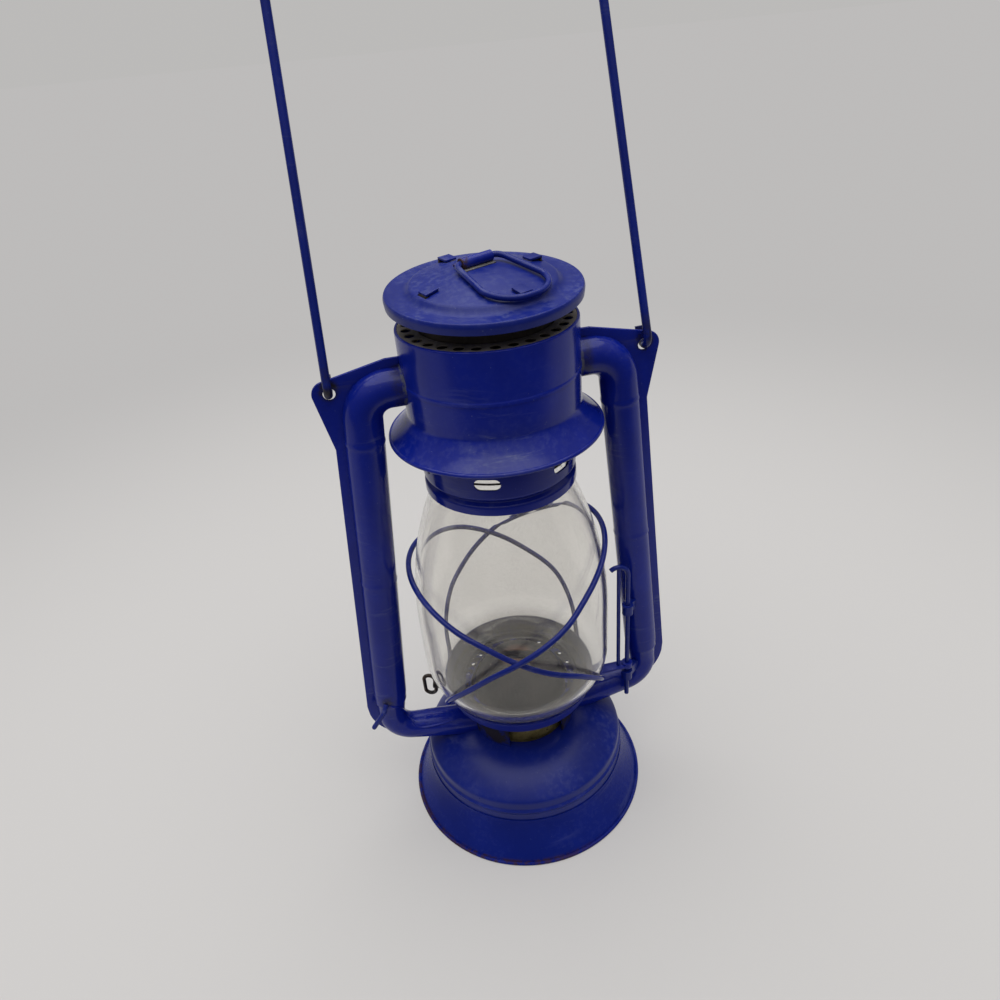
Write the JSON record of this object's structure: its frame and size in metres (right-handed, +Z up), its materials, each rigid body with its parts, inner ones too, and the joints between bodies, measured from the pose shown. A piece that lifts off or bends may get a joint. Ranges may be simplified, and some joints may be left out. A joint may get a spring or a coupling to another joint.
{
  "type": "kerosene lantern",
  "caption": "Tubular kerosene lantern with a flared tank base, glass globe in crossed guard wires, side air tubes, canopy, domed cap and wire bail.",
  "frame": {"origin": "centre of the base, on the surface the lantern stands on", "axes": "+Z up, +X along the side tubes towards the lift wire, -Y to the front"},
  "size_m": [0.1472, 0.116, 0.3999],
  "materials": {
    "blue_enamel": "glossy ultramarine enamel, scuffed, with rust at the rims",
    "sooty_steel": "dark steel browned by heat and soot",
    "dark_steel": "dull dark wire and sheet steel",
    "brass": "aged brass",
    "glass": "clear blown glass, slightly dusty",
    "cotton": "woven flat cotton wick",
    "rubber": "black rubber"
  },
  "bodies": {
    "frame": {"base_skirt": "blue_enamel", "tank_dome": "blue_enamel", "tank_bottom": "blue_enamel", "filler_neck": "blue_enamel", "burner_collar": "brass", "burner_body": "brass", "wick_tube": "brass", "spindle_gland": "brass", "burner_cone": "dark_steel", "air_chamber": "blue_enamel", "left_tube": "blue_enamel", "right_tube": "blue_enamel", "catch_wire": "blue_enamel", "lift_guides": "blue_enamel", "canopy": "blue_enamel", "air_drum": "blue_enamel", "inlet_ring": "sooty_steel", "crown_spring": "dark_steel"},
    "carriage": {"globe_plate": "blue_enamel", "lift_wire": "blue_enamel", "guard_wire_left": "blue_enamel", "guard_wire_right": "blue_enamel", "globe": "glass"},
    "crown": {"bell": "blue_enamel", "chimney": "sooty_steel", "cap": "blue_enamel", "ring_lug": "blue_enamel"},
    "ring": {"finger_ring": "blue_enamel"},
    "bail": {"bail": "blue_enamel"},
    "winder": {"wick_spindle": "dark_steel", "spur_wheels": "dark_steel", "wick_key": "dark_steel"},
    "wick": {"wick": "cotton"},
    "filler_seal": {"filler_gasket": "rubber"},
    "filler_lid": {"filler_cap": "blue_enamel"}
  },
  "joints": [
    {"name": "bail_swing", "type": "hinge", "parent": "frame", "child": "bail", "pos_m": [0, 0, 0.228], "axis": [1, 0, 0], "range_deg": [-86, 122]},
    {"name": "globe_lift", "type": "slide", "parent": "frame", "child": "carriage", "axis": [0, 0, 1], "range_m": [0, 0.01]},
    {"name": "crown_lift", "type": "slide", "parent": "carriage", "child": "crown", "axis": [0, 0, 1], "range_m": [0, 0.015], "stiffness_N_per_m": 100, "springref_m": -0.01, "deforming": ["crown_spring"]},
    {"name": "ring_swing", "type": "hinge", "parent": "crown", "child": "ring", "pos_m": [-0.00142, 0.0026, 0.2634], "axis": [-0.9135, -0.4057, -0.0284], "range_deg": [0, 165]},
    {"name": "wick_turn", "type": "hinge", "parent": "frame", "child": "winder", "pos_m": [0.00176, 0.00542, 0.052], "axis": [-0.9511, 0.309, 0], "range_deg": [-115, 58]},
    {"name": "wick_slide", "type": "slide", "parent": "frame", "child": "wick", "axis": [0, 0, 1], "range_m": [-0.008, 0.004]},
    {"name": "filler_rise", "type": "slide", "parent": "frame", "child": "filler_seal", "axis": [0, 0.3746, 0.9272], "range_m": [0, 0.005]},
    {"name": "filler_turn", "type": "hinge", "parent": "filler_seal", "child": "filler_lid", "pos_m": [0, 0.036, 0.03998], "axis": [0, 0.3746, 0.9272], "range_deg": [0, 720]}
  ],
  "couplings": [
    {"joint": "wick_turn", "follows": "wick_slide", "rad_per_m": 250},
    {"joint": "filler_rise", "follows": "filler_turn", "m_per_rad": 0.0003975}
  ]
}
